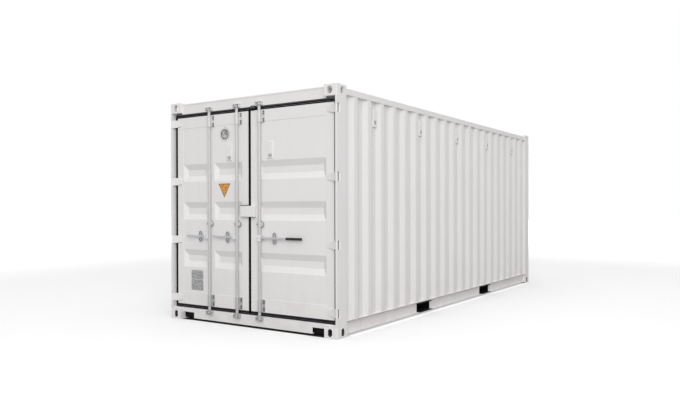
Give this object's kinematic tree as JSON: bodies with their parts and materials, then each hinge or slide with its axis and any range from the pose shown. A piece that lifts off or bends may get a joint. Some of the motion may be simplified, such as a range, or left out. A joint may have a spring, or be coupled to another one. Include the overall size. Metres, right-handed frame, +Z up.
{
  "type": "shipping container",
  "caption": "Closed steel freight container with corrugated walls, two hinged door leaves, lock rods with handles, fork pockets and corner castings.",
  "frame": {"origin": "on the ground under the middle of the container", "axes": "+Z up, +Y along the length towards the closed end, so the doors face -Y; +X to the right seen from the doors"},
  "size_m": [2.438, 6.058, 2.591],
  "materials": {
    "white_paint": "semi-gloss container paint on steel sheet",
    "casting_paint": "the same paint on rough cast steel",
    "zinc": "hot-dip zinc, pale and slightly mottled",
    "door_rubber": "black ribbed door gasket",
    "grip_rubber": "black moulded grip",
    "black_underbody": "black wax undercoat on steel",
    "floor_wood": "dark plywood floor boards"
  },
  "bodies": {
    "root": {"bottom_castings": "casting_paint", "top_castings": "casting_paint", "door_posts": "white_paint", "closed_posts": "white_paint", "hinge_lugs": "white_paint", "door_header": "white_paint", "door_stops": "white_paint", "door_sill": "white_paint", "bottom_side_rails": "white_paint", "pocket_bridges": "white_paint", "top_side_rails": "white_paint", "closed_bottom_rail": "white_paint", "closed_top_rail": "white_paint", "side_walls": "white_paint", "closed_wall": "white_paint", "side_vents": "white_paint", "roof": "white_paint", "roof_end_plates": "white_paint", "floor": "floor_wood", "crossmembers": "black_underbody", "fork_pocket_sides": "black_underbody", "fork_pocket_plates": "black_underbody", "cam_keepers": "zinc"},
    "left_leaf": {"left_leaf_frame": "white_paint", "left_leaf_panel": "white_paint", "left_leaf_gasket": "door_rubber", "left_leaf_hinges": "white_paint", "left_rod_straps": "zinc", "left_handle_catches": "zinc", "left_lock_box": "white_paint", "left_vent_cover": "white_paint"},
    "right_leaf": {"right_leaf_frame": "white_paint", "right_leaf_panel": "white_paint", "right_leaf_gasket": "door_rubber", "right_leaf_hinges": "white_paint", "right_rod_straps": "zinc", "right_handle_catches": "zinc", "right_lock_box": "white_paint", "right_vent_cover": "white_paint"},
    "rod_1": {"rod_1": "zinc"},
    "rod_2": {"rod_2": "zinc"},
    "rod_3": {"rod_3": "zinc"},
    "handle_1": {"handle_1": "zinc"},
    "handle_2": {"handle_2": "zinc"},
    "handle_3": {"handle_3": "zinc", "handle_3_grip": "grip_rubber"}
  },
  "joints": [
    {"name": "left_door", "type": "hinge", "parent": "root", "child": "left_leaf", "pos_m": [-1.207, -3.017, 1.3], "axis": [0, 0, 1], "range_deg": [-265, 0]},
    {"name": "right_door", "type": "hinge", "parent": "root", "child": "right_leaf", "pos_m": [1.207, -3.017, 1.3], "axis": [0, 0, 1], "range_deg": [0, 265]},
    {"name": "rod_1_turn", "type": "hinge", "parent": "left_leaf", "child": "rod_1", "pos_m": [-0.598, -3.001, 1], "axis": [0, 0, 1], "range_deg": [0, 100]},
    {"name": "handle_1_lift", "type": "hinge", "parent": "rod_1", "child": "handle_1", "pos_m": [-0.64, -3.01, 1], "axis": [0, 1, 0], "range_deg": [0, 60]},
    {"name": "rod_2_turn", "type": "hinge", "parent": "left_leaf", "child": "rod_2", "pos_m": [-0.166, -3.001, 1], "axis": [0, 0, 1], "range_deg": [0, 100]},
    {"name": "handle_2_lift", "type": "hinge", "parent": "rod_2", "child": "handle_2", "pos_m": [-0.208, -3.01, 1], "axis": [0, 1, 0], "range_deg": [0, 60]},
    {"name": "rod_3_turn", "type": "hinge", "parent": "right_leaf", "child": "rod_3", "pos_m": [0.168, -3.001, 1], "axis": [0, 0, 1], "range_deg": [-100, 0]},
    {"name": "handle_3_lift", "type": "hinge", "parent": "rod_3", "child": "handle_3", "pos_m": [0.21, -3.01, 1], "axis": [0, 1, 0], "range_deg": [-60, 0]}
  ]
}
